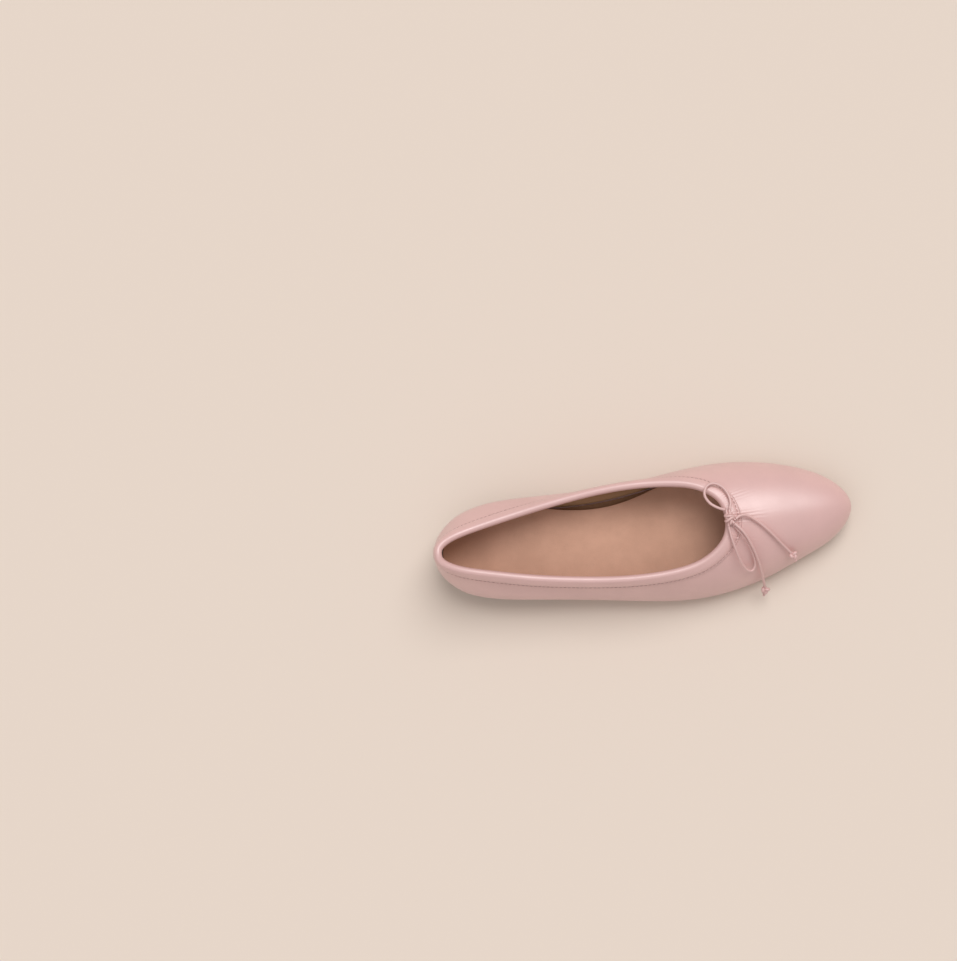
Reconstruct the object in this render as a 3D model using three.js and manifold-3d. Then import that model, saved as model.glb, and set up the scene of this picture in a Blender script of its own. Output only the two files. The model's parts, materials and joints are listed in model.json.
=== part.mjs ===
// A ballet slipper for the right foot: a flat leather shoe with a low stacked heel, a leather upper lasted
// over an insole board, a full leather lining, and a drawstring that runs in the topline binding and is
// tied in a bow at the throat.
//
// Lengths are millimetres. +X runs from heel to toe, +Y to the inner (medial) side of the foot and +Z up
// from the floor. The exported group's origin is on the floor, under the middle of the slipper's box.
//
// The last that everything follows is one surface, wall(t, v). t runs once round the foot: 0 at the back of
// the heel, 0.25 on the outer side, 0.5 at the toe and 0.75 on the inner side. v runs up the upper: 0 at the
// edge of the lasting margin under the foot and 1 at the topline.
import * as THREE from "three";
import { mergeVertices } from "three/addons/utils/BufferGeometryUtils.js";
import Module from "manifold-3d";

const wasm = await Module();
wasm.setup();

// Facets round the whole upper, and rows of them up it.
const UPPER_STEPS = 72;
const UPPER_ROWS = 12;
const ONE_STEP = 1 / UPPER_STEPS;

// Overall sizes.
const LENGTH = 250;
const BALL_WIDTH = 79.3;
const BACK_HEIGHT = 58;
const SIDE_HEIGHT = 42;
const THROAT_HEIGHT = 44;
const HEEL_HEIGHT = 9;
const TOE_SPRING = 6;

// Where the bottom touches the floor, as distances from the back of the heel.
const HEEL_BREAST = 56;
const TREAD_START = 152;
const TREAD_END = 182;

// Material thicknesses.
const UPPER = 1.2;
const LINING = 0.9;
const COUNTER = 1.1;
const TOE_PUFF = 0.7;
const BINDING = 0.8;
const OUTSOLE = 3;
const TOP_PIECE = 3.5;
const BOARD = 1.8;
const FOAM = 2;
const SOCK = 1;
const SHANK = 1;
const GAP = 0.3;

// Upper and binding.
const LASTING_MARGIN = 11;
const TOE_MARGIN = 4;
const BINDING_OUTER_LEG = 5.6;
const BINDING_INNER_LEG = 3.4;
const THREAD_DIAMETER = 0.6;
const THREAD_BELOW_EDGE = 4.3;
const CORD_DIAMETER = 1.6;
const KNOT_SIZE = [6.4, 9, 4.6];
const TAIL_KNOT = 5.2;
const EXIT_SLOT = [3.4, 10, 5];

// Insole hardware.
const SHANK_WIDTH = 14;
const SHANK_FROM = 43;
const SHANK_TO = 128;
const FILLER_FROM = 132;
const FILLER_TO = 234;
const FILLER_CLEARANCE = 1.5;
const BOARD_CLEARANCE = 3;
const MARGIN_ROOM = 0.5;
const PAD_CLEARANCE = 0.6;
const ARCH_CUT = 8.2;
const ARCH_MIDDLE = 0.76;
const ARCH_REACH = 0.1;
const PIN_SIDES = 8;
const CORD_SIDES = 8;
const HEAD_DEPTH = 0.6;
const RIVET = { diameter: 3, head: 6, length: 3.4 };
const HEEL_NAIL = { diameter: 1.6, head: 4, length: 10.5 };
const BRAD = { diameter: 1.4, head: 2.6, length: 6 };

// Places of the rivets, nails and brads: a distance from the back of the heel, and the outer side (-1), the
// middle (0) or the inner side (1).
const RIVETS = [[50, 0], [120, 0]];
const HEEL_NAILS = [[19, 0], [27, -1], [27, 1], [37, -1], [37, 1]];
const BRADS = [[9, 0], [32, -1], [32, 1], [49, 0]];
const NAIL_FROM_MARGIN = 3;
const BRAD_FROM_EDGE = 4.6;

// Stations round the last, from the back of the heel by the outer side to the toe and back by the inner side.
// Each row: the widest line of the upper seen from above (x, y), how far the sole's feather edge lies inside
// it, and the topline above it (x, y). x is in percent of LENGTH and y in percent of BALL_WIDTH.
const STATIONS = [
  [0, 0, 3.5, 1.9, 0],
  [1.0, -13.2, 3.5, 2.6, -6.8],
  [3.8, -23.7, 3.5, 4.9, -12.2],
  [8, -31.8, 3.6, 8.9, -17],
  [15.2, -37.8, 4, 15.8, -22.4],
  [24, -41.6, 4.6, 24, -28],
  [33.6, -45.4, 5, 33.4, -32.8],
  [43.2, -49.6, 4.8, 42.6, -36.2],
  [52.4, -53.6, 4.2, 51, -37.2],
  [61.6, -55.1, 3.6, 58.2, -35.6],
  [70.8, -51.7, 3.2, 63.5, -31.3],
  [79.6, -43.9, 3, 67.3, -24.4],
  [88, -32.8, 2.8, 69.8, -16.4],
  [95.6, -20.4, 2.6, 71, -8],
  [100, 0.4, 2.5, 71.3, 0.6],
  [96.2, 20.8, 2.6, 70.9, 9.2],
  [88.8, 33.8, 2.8, 69.7, 17],
  [80, 41.6, 3, 67.2, 24.3],
  [70.8, 44.8, 3.2, 63.4, 30.4],
  [61.6, 43.5, 4, 58, 34],
  [52.4, 40, 6, 50.8, 35.6],
  [43.2, 37.4, 8, 42.4, 34.8],
  [33.6, 36.6, 8.6, 33.2, 31.7],
  [24, 36.9, 7, 24, 27],
  [15.2, 36.4, 5, 15.8, 21.9],
  [8, 31.6, 3.8, 8.9, 16.8],
  [3.8, 23.7, 3.5, 4.9, 12.2],
  [1.0, 13.2, 3.5, 2.6, 6.8],
];

// Smooth closed lines through the stations: the widest line with the feather inset as its height, and the
// topline.
const station = (row, x, y, z) => new THREE.Vector3((row[x] * LENGTH) / 100, (row[y] * BALL_WIDTH) / 100, z);
const closedLine = (points) => new THREE.CatmullRomCurve3(points, true, "catmullrom", 0.5);
const WIDEST = closedLine(STATIONS.map((row) => station(row, 0, 1, row[2])));
const TOPLINE = closedLine(STATIONS.map((row) => station(row, 3, 4, 0)));
const along = (line, t) => line.getPoint(t - Math.floor(t));

const smoothstep = THREE.MathUtils.smoothstep;
const lerp = THREE.MathUtils.lerp;

// 1 at place t, falling smoothly to 0 at a distance of width round the last.
function window(t, centre, width) {
  const away = Math.abs(t - centre - Math.round(t - centre));
  return away < width ? Math.cos((Math.PI / 2) * (away / width)) ** 2 : 0;
}

// Height of the outsole's underside above the floor at a distance x from the back of the heel.
function tread(x) {
  const heel = HEEL_HEIGHT * (1 - smoothstep(x, HEEL_BREAST - 20, TREAD_START));
  const toe = Math.max(0, (x - TREAD_END) / (LENGTH - TREAD_END));
  return heel + TOE_SPRING * toe ** 2;
}

// The height of the upper's underside at t.
function seatHeight(t) {
  return tread(along(WIDEST, t).x) + OUTSOLE + GAP;
}

// The roll of the binding stands this far above the edge of the upper.
const ROLL_INNER = (UPPER + GAP + LINING) / 2 + GAP;
const ROLL_OUTER = ROLL_INNER + BINDING;
const ROLL_CENTRE_UP = GAP + CORD_DIAMETER / 2;
const ROLL_CENTRE_IN = (UPPER + GAP + LINING) / 2;

function toplineZ(t) {
  const finished =
    SIDE_HEIGHT +
    (BACK_HEIGHT - SIDE_HEIGHT) * window(t, 0, 0.24) +
    (THROAT_HEIGHT - SIDE_HEIGHT) * window(t, 0.5, 0.2);
  const lyingDown = window(t, 0.5, 0.16);
  return finished - lerp(ROLL_OUTER + ROLL_CENTRE_UP, ROLL_OUTER, lyingDown);
}

// The unit vector, in plan, that points out of the last at t.
function outward(t) {
  const step = 1e-3;
  const run = along(WIDEST, t + step).sub(along(WIDEST, t - step));
  return new THREE.Vector3(run.y, -run.x, 0).normalize();
}

// A point of the widest line, moved in by inset, at a height over the top of the outsole.
function planPoint(t, inset, height) {
  const point = along(WIDEST, t).addScaledVector(outward(t), -inset);
  return point.setZ(tread(point.x) + OUTSOLE + height);
}

// The eight lines that shape the wall at t: margin edge, middle of the margin, feather edge, low wall, high
// wall, shoulder, vamp and topline.
function wallLines(t) {
  const toe = window(t, 0.5, 0.3);
  const heel = window(t, 0, 0.14);
  const inset = along(WIDEST, t).z;
  const turned = lerp(LASTING_MARGIN, TOE_MARGIN, toe);
  const margin = planPoint(t, inset + turned, GAP);
  const middle = planPoint(t, inset + turned / 3, GAP);
  const feather = planPoint(t, inset * 0.6, GAP);
  const low = planPoint(t, -0.5, lerp(6.3, 3.7, toe));
  const high = planPoint(t, lerp(0.4, 0.9, toe), lerp(14.8, 11.3, toe) + 5 * heel);
  const top = along(TOPLINE, t).setZ(toplineZ(t));
  const shoulder = high.clone().lerp(top, lerp(0.38, 0.17, toe));
  shoulder.z += 6 * toe;
  const vamp = high.clone().lerp(top, lerp(0.7, 0.58, toe));
  vamp.z += 4.2 * toe;
  return [margin, middle, feather, low, high, shoulder, vamp, top];
}

// Cubic B-spline weights of the eight lines, with the first and last lines on the surface itself.
const KNOTS = [0, 0, 0, 0, 1, 2, 3, 4, 5, 5, 5, 5];
const KNOT_END = 5;
function weight(i, degree, u) {
  if (degree === 0) return KNOTS[i] <= u && u < KNOTS[i + 1] ? 1 : 0;
  const rise = KNOTS[i + degree] - KNOTS[i];
  const fall = KNOTS[i + degree + 1] - KNOTS[i + 1];
  const up = rise ? ((u - KNOTS[i]) / rise) * weight(i, degree - 1, u) : 0;
  const down = fall ? ((KNOTS[i + degree + 1] - u) / fall) * weight(i + 1, degree - 1, u) : 0;
  return up + down;
}

// The outer face of the upper. Past v = 1 it runs straight on beyond the topline.
function wall(t, v) {
  const inside = THREE.MathUtils.clamp(v, 0, 1);
  const u = Math.min(inside * KNOT_END, KNOT_END - 1e-9);
  const lines = wallLines(t);
  const point = new THREE.Vector3();
  lines.forEach((line, i) => point.addScaledVector(line, weight(i, 3, u)));
  const endSlope = lines[7].clone().sub(lines[6]).multiplyScalar(3 * KNOT_END);
  return point.addScaledVector(endSlope, v - inside);
}

function wallNormal(t, v) {
  const step = 1e-4;
  const high = THREE.MathUtils.clamp(v, step, 1);
  const round = wall(t + step, high).sub(wall(t - step, high));
  const up = wall(t, high).sub(wall(t, high - step));
  return round.cross(up).normalize();
}

// A point at depth under the outer face: 0 on it, positive towards the foot.
function under(t, v, depth) {
  return wall(t, v).addScaledVector(wallNormal(t, v), -depth);
}

// The value of v that lies a distance below the topline edge, measured down the wall.
function vBelowEdge(t, distance) {
  const step = 0.01;
  const speed = wall(t, 1).distanceTo(wall(t, 1 - step)) / step;
  return 1 - distance / speed;
}

// The value of v where the wall, or the surface at a depth under it, passes a height above its seat.
function vAtHeight(t, height, depth = () => 0) {
  const target = seatHeight(t) + height;
  let low = 0.16;
  let high = 0.68;
  for (let pass = 0; pass < 24; pass++) {
    const mid = (low + high) / 2;
    if (under(t, mid, depth(t, mid)).z < target) low = mid;
    else high = mid;
  }
  return high;
}

// ---- Making solids -------------------------------------------------------------------------------------

// A three.js geometry whose corners are moved by place(corner, uv), as one closed skin facing outwards.
function shaped(geometry, place) {
  const { position, uv } = geometry.attributes;
  for (let i = 0; i < position.count; i++) {
    const corner = new THREE.Vector3().fromBufferAttribute(position, i);
    const moved = place(corner, new THREE.Vector2().fromBufferAttribute(uv, i));
    position.setXYZ(i, moved.x, moved.y, moved.z);
  }
  const skin = bare(geometry);
  const at = (i) => new THREE.Vector3().fromBufferAttribute(skin.attributes.position, skin.index.getX(i));
  let volume = 0;
  for (let i = 0; i < skin.index.count; i += 3) volume += at(i).dot(at(i + 1).cross(at(i + 2)));
  if (volume < 0) skin.index.array.reverse();
  return skin;
}

// The geometry with only its positions, and each shared corner once.
function bare(geometry) {
  const plain = geometry.clone();
  plain.deleteAttribute("normal");
  plain.deleteAttribute("uv");
  return mergeVertices(plain, 1e-3);
}

// A block bent to shape: place gets how far a corner lies along, across and through it, each 0 to 1.
function bentBlock(along, across, through, place) {
  const block = new THREE.BoxGeometry(1, 1, 1, along, across, through);
  return shaped(block, (corner) => place(...corner.addScalar(0.5).toArray()));
}

// A ring of a closed section, given as points of [height above the topline edge, depth under the upper's
// outer face].
function toplineRing(section) {
  const ring = new THREE.TorusGeometry(2, 1, section.length, UPPER_STEPS);
  return shaped(ring, (corner, uv) => {
    const [height, depth] = section[Math.round(uv.y * section.length) % section.length];
    return under(uv.x, vBelowEdge(uv.x, -height), depth);
  });
}

// A patch of the wall between two places round the last. rowAt(t, row) gives v on each row up the patch,
// and depth(t, v) how far its outer face lies under the upper's.
function patch(fromT, toT, rows, rowAt, depth, thickness) {
  const steps = Math.round((toT - fromT) * UPPER_STEPS);
  return bentBlock(steps, rows, 1, (x, y, z) => {
    const t = lerp(fromT, toT, x);
    const v = rowAt(t, Math.round(y * rows));
    return under(t, v, depth(t, v) + z * thickness);
  });
}

// A flat piece that follows the bottom: it spans from the outer side to the inner side between two
// distances from the back of the heel, inside edge(t) on each side, from low(x) up to high(x).
function plate(fromT, toT, steps, edge, low, high) {
  return bentBlock(steps, 1, 1, (x, y, z) => {
    const t = lerp(fromT, toT, x);
    const corner = edge(y ? 1 - t : t);
    return corner.setZ(lerp(low(corner.x), high(corner.x), z));
  });
}

// A round cord through points.
function cord(points, diameter, steps) {
  const corners = Array.from({ length: CORD_SIDES }, (_, i) => {
    const angle = (2 * Math.PI * i) / CORD_SIDES;
    return new THREE.Vector2(Math.cos(angle), Math.sin(angle)).multiplyScalar(diameter / 2);
  });
  const extrudePath = new THREE.CatmullRomCurve3(points, false, "centripetal");
  return new THREE.ExtrudeGeometry(new THREE.Shape(corners), { steps, extrudePath });
}

function ball(size, centre, across, down) {
  const geometry = new THREE.SphereGeometry(0.5, across, down);
  return geometry.scale(...size).translate(...centre.toArray());
}

function toSolid(geometry) {
  const merged = bare(geometry);
  const vertProperties = merged.attributes.position.array;
  const triVerts = new Uint32Array(merged.index.array);
  return new wasm.Manifold(new wasm.Mesh({ numProp: 3, vertProperties, triVerts }));
}

function cut(geometry, tools) {
  const solid = tools.reduce((left, tool) => left.subtract(toSolid(tool)), toSolid(geometry));
  const mesh = solid.getMesh();
  const result = new THREE.BufferGeometry();
  result.setAttribute("position", new THREE.BufferAttribute(mesh.vertProperties, 3));
  return result.setIndex(new THREE.BufferAttribute(mesh.triVerts, 1));
}

// A headed pin with its head at height z and its shaft pointing down, or up where turned is true. grow
// makes the tool that cuts its hole.
function pin([x, y], z, { diameter, head, length }, grow, turned) {
  const shaft = diameter / 2 + grow;
  const cap = head / 2 + grow;
  const profile = [
    [0, -length - grow],
    [shaft, -length - grow],
    [shaft, -HEAD_DEPTH - grow],
    [cap, -HEAD_DEPTH - grow],
    [cap, grow],
    [0, grow],
  ];
  const geometry = new THREE.LatheGeometry(profile.map((point) => new THREE.Vector2(...point)), PIN_SIDES);
  return geometry.rotateX(turned ? -Math.PI / 2 : Math.PI / 2).translate(x, y, z);
}

// ---- The pieces ----------------------------------------------------------------------------------------

function finish(color, roughness, metalness = 0) {
  return new THREE.MeshStandardMaterial({ color, roughness, metalness });
}
const PINK = [0xdcb5b3, 0.42];
const TAN = [0xb98468, 0.6];
const LINING_TAN = [0xa87550, 0.65];
const CREAM = [0xd9cbbd, 0.85];
const SOLE_LEATHER = [0xb58a62, 0.6];
const STACK_LEATHER = [0x8a6244, 0.55];
const BOARD_GREY = [0xa79a8a, 0.9];
const FOAM_WHITE = [0xe6e2d8, 0.95];
const STIFF_FABRIC = [0xc9bda6, 0.9];
const CORK = [0x9c7a55, 0.95];
const RUBBER = [0x3a3330, 0.8];
const STEEL = [0x8f9296, 0.35, 0.9];

const last = new THREE.Group();
function add(name, geometry, look) {
  const mesh = new THREE.Mesh(geometry, finish(...look));
  mesh.name = name;
  last.add(mesh);
}

// Levels of the layers, each above the outsole's underside.
const UPPER_LEVEL = OUTSOLE + GAP;
const BOARD_LEVEL = UPPER_LEVEL + UPPER + MARGIN_ROOM;
const BOARD_TOP = BOARD_LEVEL + BOARD;
const FOAM_LEVEL = BOARD_TOP + GAP;
const SOCK_LEVEL = FOAM_LEVEL + FOAM + GAP;
const level = (height) => (x) => tread(x) + height;

// Where a distance from the back of the heel falls on the outer side of the last.
function placeAt(x) {
  let low = 0;
  let high = 0.5;
  for (let pass = 0; pass < 30; pass++) {
    const mid = (low + high) / 2;
    if (along(WIDEST, mid).x < x) low = mid;
    else high = mid;
  }
  return low;
}


// The upper: one skin of soft leather all the way round, with its lower edge turned in under the board.
function addUpper() {
  const section = [];
  for (let row = 0; row <= UPPER_ROWS; row++) section.push([row / UPPER_ROWS, 0]);
  for (let row = UPPER_ROWS; row >= 0; row--) section.push([row / UPPER_ROWS, UPPER]);
  const ring = new THREE.TorusGeometry(2, 1, section.length, UPPER_STEPS);
  const skin = shaped(ring, (corner, uv) =>
    under(uv.x, ...section[Math.round(uv.y * section.length) % section.length]),
  );
  add("upper", skin, PINK);
}

// The heel counter and the toe puff stiffen the two ends, between the upper and the lining. The lining
// steps in where they lie.
const COUNTER_REACH = 9 * ONE_STEP;
const COUNTER_BELOW_EDGE = 8.5;
const PUFF_REACH = 8 * ONE_STEP;
const PUFF_BOTTOM = 0.44;
const PUFF_TOP = 0.7;
const PUFF_ROWS = 4;
const COUNTER_ROWS = 4;
const STEP_IN = 0.044;
const LINING_BOTTOM = BOARD_TOP + GAP - UPPER_LEVEL;
const liningBottom = (t) => vAtHeight(t, LINING_BOTTOM);
const counterTop = (t) => vBelowEdge(t, COUNTER_BELOW_EDGE);
const legEnd = (t) => vBelowEdge(t, BINDING_INNER_LEG + 3 * GAP);
const underUpper = () => UPPER + GAP;

function liningDepth(t, v) {
  const fromHeel = Math.abs(t - Math.round(t));
  const fromToe = Math.abs(t - 0.5);
  const overCounter = 1 - smoothstep(fromHeel, COUNTER_REACH + 0.006, COUNTER_REACH + STEP_IN);
  const belowEdge = 1 - smoothstep(v, counterTop(t) + 0.012, legEnd(t));
  const overPuff = 1 - smoothstep(fromToe, PUFF_REACH + 0.006, PUFF_REACH + STEP_IN);
  const behindPuff = 1 - smoothstep(v, PUFF_TOP + 0.1, PUFF_TOP + 0.21);
  const steps = overCounter * belowEdge * (COUNTER + GAP) + overPuff * behindPuff * (TOE_PUFF + GAP);
  return UPPER + GAP + steps;
}

function addStiffeners() {
  const counterRow = (t, row) => lerp(liningBottom(t), counterTop(t), row / COUNTER_ROWS);
  const counter = patch(-COUNTER_REACH, COUNTER_REACH, COUNTER_ROWS, counterRow, underUpper, COUNTER);
  add("heel_counter", counter, STIFF_FABRIC);
  const puffRow = (t, row) => lerp(PUFF_BOTTOM, PUFF_TOP, row / PUFF_ROWS);
  const puff = patch(0.5 - PUFF_REACH, 0.5 + PUFF_REACH, PUFF_ROWS, puffRow, underUpper, TOE_PUFF);
  add("toe_puff", puff, STIFF_FABRIC);
}

// The lining: a pale grip at the heel, a quarter on each side and the vamp lining, butted at their seams.
const GRIP_REACH = 6 * ONE_STEP;
const VAMP_REACH = 12 * ONE_STEP;
const SEAM = 0.0006;

const LINING_ROWS = 6;

// The rows of the lining end at the topline, and two of them lie above and below the step over the counter.
function liningRow(t, row) {
  if (row === LINING_ROWS) return 1;
  if (row === LINING_ROWS - 1) return legEnd(t);
  return lerp(liningBottom(t), counterTop(t) + 0.012, row / (LINING_ROWS - 2));
}

function addLinings() {
  const pieces = [
    ["heel_grip_lining", -GRIP_REACH, GRIP_REACH, CREAM],
    ["quarter_lining_outer", GRIP_REACH + SEAM, 0.5 - VAMP_REACH, LINING_TAN],
    ["vamp_lining", 0.5 - VAMP_REACH + SEAM, 0.5 + VAMP_REACH - SEAM, LINING_TAN],
    ["quarter_lining_inner", 0.5 + VAMP_REACH, 1 - GRIP_REACH - SEAM, LINING_TAN],
  ];
  for (const [name, from, to, look] of pieces)
    add(name, patch(from, to, LINING_ROWS, liningRow, liningDepth, LINING), look);
}

// Points of a half circle over the topline edge, from the outer side to the inner side.
function overEdge(radius, steps) {
  return Array.from({ length: steps + 1 }, (_, i) => {
    const angle = (Math.PI * i) / steps;
    return [ROLL_CENTRE_UP + radius * Math.sin(angle), ROLL_CENTRE_IN - radius * Math.cos(angle)];
  });
}

// The knot of the bow sits on the roll of the binding at the middle of the throat.
const KNOT_ABOVE_EDGE = 1.6;
const KNOT_DEPTH = ROLL_CENTRE_IN - ROLL_OUTER - GAP - KNOT_SIZE[2] / 2;
const KNOT_CENTRE = under(0.5, vBelowEdge(0.5, -KNOT_ABOVE_EDGE), KNOT_DEPTH);

// The binding is folded over the edge and leaves a channel for the drawstring, with a slot at the throat
// where the two ends of the drawstring come out.
function addBinding() {
  const [outerTop, innerTop] = [ROLL_CENTRE_IN - ROLL_OUTER, ROLL_CENTRE_IN + ROLL_OUTER];
  const section = [
    [-BINDING_OUTER_LEG, outerTop],
    [-BINDING_OUTER_LEG / 2, outerTop],
    ...overEdge(ROLL_OUTER, 5),
    [-BINDING_INNER_LEG, innerTop],
    [-BINDING_INNER_LEG, innerTop - BINDING],
    ...overEdge(ROLL_INNER, 4).reverse(),
    [-BINDING_OUTER_LEG / 2, outerTop + BINDING],
    [-BINDING_OUTER_LEG, outerTop + BINDING],
  ];
  const slot = new THREE.BoxGeometry(...EXIT_SLOT);
  slot.translate(KNOT_CENTRE.x, KNOT_CENTRE.y, KNOT_CENTRE.z - KNOT_SIZE[2] / 2 - GAP);
  add("topline_binding", cut(toplineRing(section), [slot]), PINK);

  const threadDepth = outerTop - GAP - THREAD_DIAMETER / 2;
  const thread = Array.from({ length: 4 }, (_, i) => {
    const angle = (Math.PI * i) / 2;
    const [up, out] = [Math.cos(angle), Math.sin(angle)].map((part) => (part * THREAD_DIAMETER) / 2);
    return [up - THREAD_BELOW_EDGE, threadDepth + out];
  });
  add("topline_thread", toplineRing(thread), PINK);
}


// The drawstring runs once round in the channel, and its two ends rise through the slot to the knot.
function addDrawstring() {
  const apart = 2;
  const leaveAt = 0.018;
  const route = [];
  const rise = (side) => {
    const below = new THREE.Vector3(0, side * apart, -KNOT_SIZE[2] / 2 - CORD_DIAMETER / 2 - GAP);
    return KNOT_CENTRE.clone().add(below);
  };
  route.push(rise(1));
  for (let i = 0; i <= 56; i++) {
    const t = lerp(0.5 + leaveAt, 1.5 - leaveAt, i / 56);
    route.push(under(t, vBelowEdge(t, -ROLL_CENTRE_UP), ROLL_CENTRE_IN));
  }
  route.push(rise(-1));
  add("drawstring", cord(route, CORD_DIAMETER, 72), PINK);
}

// The bow: two loops and two free tails that leave the knot, with an overhand knot at the end of each tail.
const BOW_CORDS = {
  bow_loop_inner: [
    [175.2, 5.5, 45.2],
    [171.5, 7, 46],
    [167, 10.5, 46.2],
    [164.7, 15.6, 44.6],
    [166.4, 20.3, 43.4],
    [170.3, 21.8, 42.4],
    [175.2, 19.3, 42.2],
    [178.2, 14.4, 43.2],
    [179, 9.2, 44.3],
    [178, 5.5, 45.2],
  ],
  bow_loop_outer: [
    [176.2, -4.5, 45],
    [177.2, -12, 44.2],
    [178.6, -18, 42.6],
    [180.6, -25.2, 38.2],
    [183.6, -30.4, 32.8],
    [186.4, -31.4, 30.4],
    [188.6, -28.8, 31],
    [187.9, -20, 37.6],
    [183.9, -10.6, 43],
    [179.8, -4.9, 44.4],
  ],
  bow_tail_outer: [
    [179.7, -3.2, 46.3],
    [184.3, -8.8, 45.4],
    [188, -16.7, 41.4],
    [190.6, -25, 34.6],
    [192.2, -33.3, 25.6],
    [193, -39.6, 17.6],
    [193.1, -41.2, 14.6],
  ],
  bow_tail_front: [
    [180.9, -0.6, 45.2],
    [183, 0.8, 44.8],
    [187, 0.9, 43.4],
    [192.2, -2.5, 41.6],
    [198.8, -9.2, 38.8],
    [204.8, -16.7, 34],
    [210, -23.1, 28.4],
  ],
};
const TAIL_KNOTS = {
  tail_knot_outer: [193.3, -43.4, 12.7],
  tail_knot_front: [211.8, -25.2, 26.9],
};

function addBow() {
  add("bow_knot", ball(KNOT_SIZE, KNOT_CENTRE, 14, 10), PINK);
  for (const [name, route] of Object.entries(BOW_CORDS)) {
    const points = route.map((point) => new THREE.Vector3(...point));
    const steps = Math.round(new THREE.CatmullRomCurve3(points).getLength() / (1.8 * CORD_DIAMETER));
    add(name, cord(points, CORD_DIAMETER, steps), PINK);
  }
  for (const [name, centre] of Object.entries(TAIL_KNOTS))
    add(name, ball([TAIL_KNOT, TAIL_KNOT, TAIL_KNOT], new THREE.Vector3(...centre), 10, 8), PINK);
}

// The edge, at a height above the upper's underside, of the surface at a depth under the wall.
function insideEdge(height, depth) {
  return (t) => {
    const v = vAtHeight(t, height, depth);
    return under(t, v, depth(t, v));
  };
}

// The bottom, from the floor up: top piece, heel block, outsole, filler and shank, board, foam and sock.
// Each piece's edge follows the last at its own height.
const soleEdge = (t) => planPoint(t, along(WIDEST, t).z * 0.6 + GAP, 0);
const boardEdge = insideEdge(BOARD_LEVEL - UPPER_LEVEL + BOARD / 2, () => UPPER + BOARD_CLEARANCE);
const fillerEdge = (t) => under(t, 0, 0).addScaledVector(outward(t), -FILLER_CLEARANCE);
const insideLining = (t, v) => liningDepth(t, v) + LINING + PAD_CLEARANCE;
// The sock and its pad are cut narrower at the inner side of the arch, where the lining shows beside them.
function cutAtArch(edge, spare) {
  return (t) => {
    const cutIn = (ARCH_CUT + spare) * window(t, ARCH_MIDDLE, ARCH_REACH);
    return edge(t).addScaledVector(outward(t), -cutIn);
  };
}
const foamEdge = cutAtArch(insideEdge(FOAM_LEVEL - UPPER_LEVEL, insideLining), GAP);
const sockEdge = cutAtArch(insideEdge(SOCK_LEVEL - UPPER_LEVEL, insideLining), 0);

// A place at a distance x from the back of the heel: on the middle of the hollow between the two lasting
// margins, or on one side, inside a line by a distance.
function placeInside(line, inside, [x, side]) {
  const t = placeAt(x);
  const outer = under(t, 0, 0).y;
  const inner = under(1 - t, 0, 0).y;
  if (side === 0) return [x, (outer + inner) / 2];
  return [x, line(side < 0 ? t : 1 - t).y - side * inside];
}
const marginEdge = (t) => under(t, 0, 0);
const nailPlaces = HEEL_NAILS.map((place) => placeInside(marginEdge, NAIL_FROM_MARGIN, place));
const rivetPlaces = RIVETS.map((place) => placeInside(marginEdge, 0, place));
const bradPlaces = BRADS.map((place) => placeInside(soleEdge, BRAD_FROM_EDGE, place));

function addBottom() {
  const full = [ONE_STEP, 0.5 - ONE_STEP, UPPER_STEPS / 2 - 2];
  const heel = [ONE_STEP, placeAt(HEEL_BREAST), 11];

  const topHoles = bradPlaces.map((place) => pin(place, GAP, BRAD, GAP, true));
  const heelHoles = nailPlaces.map((place) => pin(place, tread(place[0]) + BOARD_TOP, HEEL_NAIL, GAP));
  const rivetHoles = rivetPlaces.map((place) => pin(place, tread(place[0]) + BOARD_TOP, RIVET, GAP));

  const topPiece = plate(...heel, soleEdge, () => 0, () => TOP_PIECE);
  add("heel_top_piece", cut(topPiece, topHoles), RUBBER);
  const block = plate(...heel, soleEdge, () => TOP_PIECE + GAP, level(-GAP));
  add("heel_block", cut(block, [...topHoles, ...heelHoles]), STACK_LEATHER);
  add("outsole", cut(plate(...full, soleEdge, level(0), level(OUTSOLE)), heelHoles), SOLE_LEATHER);

  const filler = [placeAt(FILLER_FROM), placeAt(FILLER_TO), 16];
  add("bottom_filler", plate(...filler, fillerEdge, level(UPPER_LEVEL), level(UPPER_LEVEL + UPPER)), CORK);
  const shank = bentBlock(16, 1, 1, (x, y, z) => {
    const place = lerp(SHANK_FROM, SHANK_TO, x);
    const height = tread(place) + BOARD_LEVEL - GAP - (1 - z) * SHANK;
    const [, middle] = placeInside(marginEdge, 0, [place, 0]);
    return new THREE.Vector3(place, middle + (y - 0.5) * SHANK_WIDTH, height);
  });
  add("shank", cut(shank, rivetHoles), STEEL);
  const board = plate(...full, boardEdge, level(BOARD_LEVEL), level(BOARD_TOP));
  add("insole_board", cut(board, [...heelHoles, ...rivetHoles]), BOARD_GREY);
  const foam = plate(...full, foamEdge, level(FOAM_LEVEL), level(FOAM_LEVEL + FOAM));
  add("cushion_pad", foam, FOAM_WHITE);
  add("sock", plate(...full, sockEdge, level(SOCK_LEVEL), level(SOCK_LEVEL + SOCK)), TAN);
}

function addPins() {
  rivetPlaces.forEach((place, i) => {
    add(`shank_rivet_${i + 1}`, pin(place, tread(place[0]) + BOARD_TOP, RIVET, 0), STEEL);
  });
  nailPlaces.forEach((place, i) => {
    add(`heel_nail_${i + 1}`, pin(place, tread(place[0]) + BOARD_TOP, HEEL_NAIL, 0), STEEL);
  });
  bradPlaces.forEach((place, i) => add(`top_piece_brad_${i + 1}`, pin(place, GAP, BRAD, 0, true), STEEL));
}

addUpper();
addStiffeners();
addLinings();
addBinding();
addDrawstring();
addBow();
addBottom();
addPins();

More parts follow.
